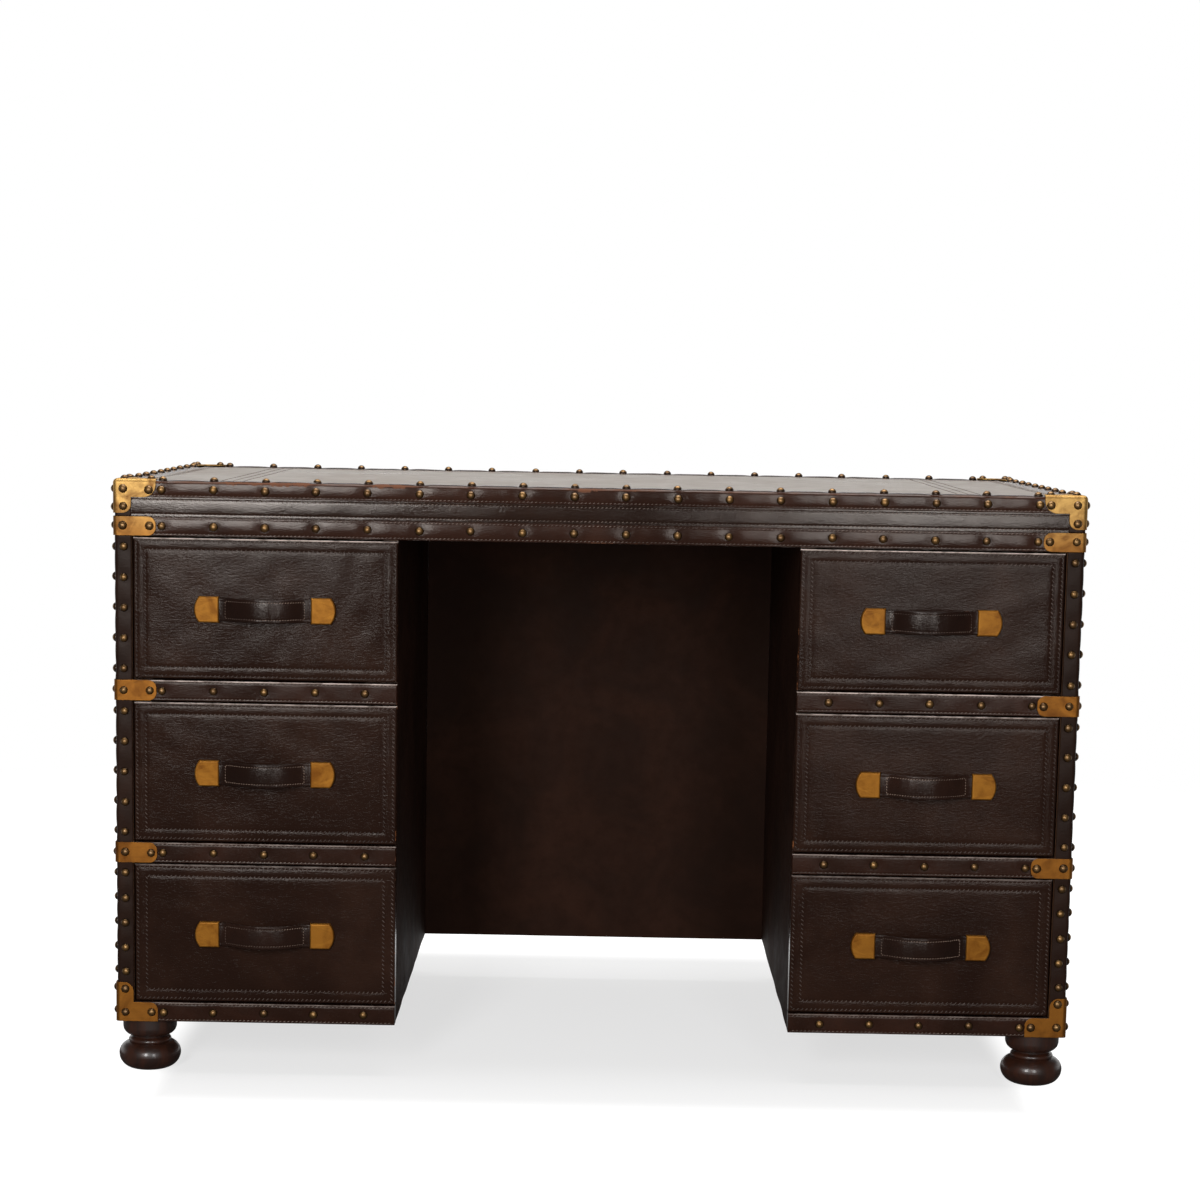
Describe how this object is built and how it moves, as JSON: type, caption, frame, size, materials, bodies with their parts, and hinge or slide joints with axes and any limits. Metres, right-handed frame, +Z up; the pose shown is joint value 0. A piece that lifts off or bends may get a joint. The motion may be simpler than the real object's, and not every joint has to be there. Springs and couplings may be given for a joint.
{
  "type": "campaign desk",
  "caption": "Leather-covered campaign desk: a shallow box top on two drawer pedestals, with nailed strips, brass corners, strap pulls and turned feet.",
  "frame": {"origin": "on the floor, under the centre of the desk's bounding box with its pulls and nails", "axes": "+X to the right along the front, -Y out of the front, +Z up"},
  "size_m": [1.2308, 0.6394, 0.7674],
  "materials": {
    "body_leather": "dark espresso grained leather, waxed",
    "drawer_leather": "dark espresso grained leather with stitched borders",
    "band_leather": "thick dark brown strip leather, rubbed at the edges",
    "top_leather": "polished dark brown leather with tooled lines",
    "kneehole_leather": "near black brown leather, matt",
    "strap_leather": "stitched strap leather, polished by hands",
    "brass": "aged golden brass",
    "nail_bronze": "antique bronze",
    "carcase_wood": "plain hardwood",
    "drawer_wood": "plain hardwood",
    "foot_wood": "dark polished hardwood"
  },
  "bodies": {
    "carcase": {"top_board": "carcase_wood", "top_leather": "top_leather", "top_edge_binding": "band_leather", "frieze_frame": "carcase_wood", "frieze_leather": "body_leather", "frieze_lower_band": "band_leather", "frieze_bottom_board": "carcase_wood", "left_outer_panel": "carcase_wood", "right_outer_panel": "carcase_wood", "left_inner_panel": "carcase_wood", "right_inner_panel": "carcase_wood", "pedestal_bottom_boards": "carcase_wood", "pedestal_back_boards": "carcase_wood", "modesty_panel": "carcase_wood", "drawer_rails": "carcase_wood", "drawer_rail_leather": "band_leather", "drawer_runners": "drawer_wood", "side_leather": "body_leather", "back_leather": "body_leather", "kneehole_leather": "kneehole_leather", "corner_bindings": "band_leather", "carcase_bands": "band_leather", "top_corner_caps": "brass", "bottom_corner_caps": "brass", "corner_straps": "brass", "front_nails": "nail_bronze", "back_nails": "nail_bronze", "side_nails": "nail_bronze", "top_nails": "nail_bronze", "feet": "foot_wood"},
    "left_top_drawer": {"left_top_drawer_front": "drawer_wood", "left_top_drawer_front_leather": "drawer_leather", "left_top_drawer_box": "drawer_wood", "left_top_drawer_pull_strap": "strap_leather", "left_top_drawer_pull_caps": "brass"},
    "left_middle_drawer": {"left_middle_drawer_front": "drawer_wood", "left_middle_drawer_front_leather": "drawer_leather", "left_middle_drawer_box": "drawer_wood", "left_middle_drawer_pull_strap": "strap_leather", "left_middle_drawer_pull_caps": "brass"},
    "left_bottom_drawer": {"left_bottom_drawer_front": "drawer_wood", "left_bottom_drawer_front_leather": "drawer_leather", "left_bottom_drawer_box": "drawer_wood", "left_bottom_drawer_pull_strap": "strap_leather", "left_bottom_drawer_pull_caps": "brass"},
    "right_top_drawer": {"right_top_drawer_front": "drawer_wood", "right_top_drawer_front_leather": "drawer_leather", "right_top_drawer_box": "drawer_wood", "right_top_drawer_pull_strap": "strap_leather", "right_top_drawer_pull_caps": "brass"},
    "right_middle_drawer": {"right_middle_drawer_front": "drawer_wood", "right_middle_drawer_front_leather": "drawer_leather", "right_middle_drawer_box": "drawer_wood", "right_middle_drawer_pull_strap": "strap_leather", "right_middle_drawer_pull_caps": "brass"},
    "right_bottom_drawer": {"right_bottom_drawer_front": "drawer_wood", "right_bottom_drawer_front_leather": "drawer_leather", "right_bottom_drawer_box": "drawer_wood", "right_bottom_drawer_pull_strap": "strap_leather", "right_bottom_drawer_pull_caps": "brass"}
  },
  "joints": [
    {"name": "left_top_drawer_slide", "type": "slide", "parent": "carcase", "child": "left_top_drawer", "axis": [0, -1, 0], "range_m": [0, 0.4]},
    {"name": "left_middle_drawer_slide", "type": "slide", "parent": "carcase", "child": "left_middle_drawer", "axis": [0, -1, 0], "range_m": [0, 0.4]},
    {"name": "left_bottom_drawer_slide", "type": "slide", "parent": "carcase", "child": "left_bottom_drawer", "axis": [0, -1, 0], "range_m": [0, 0.4]},
    {"name": "right_top_drawer_slide", "type": "slide", "parent": "carcase", "child": "right_top_drawer", "axis": [0, -1, 0], "range_m": [0, 0.4]},
    {"name": "right_middle_drawer_slide", "type": "slide", "parent": "carcase", "child": "right_middle_drawer", "axis": [0, -1, 0], "range_m": [0, 0.4]},
    {"name": "right_bottom_drawer_slide", "type": "slide", "parent": "carcase", "child": "right_bottom_drawer", "axis": [0, -1, 0], "range_m": [0, 0.4]}
  ]
}
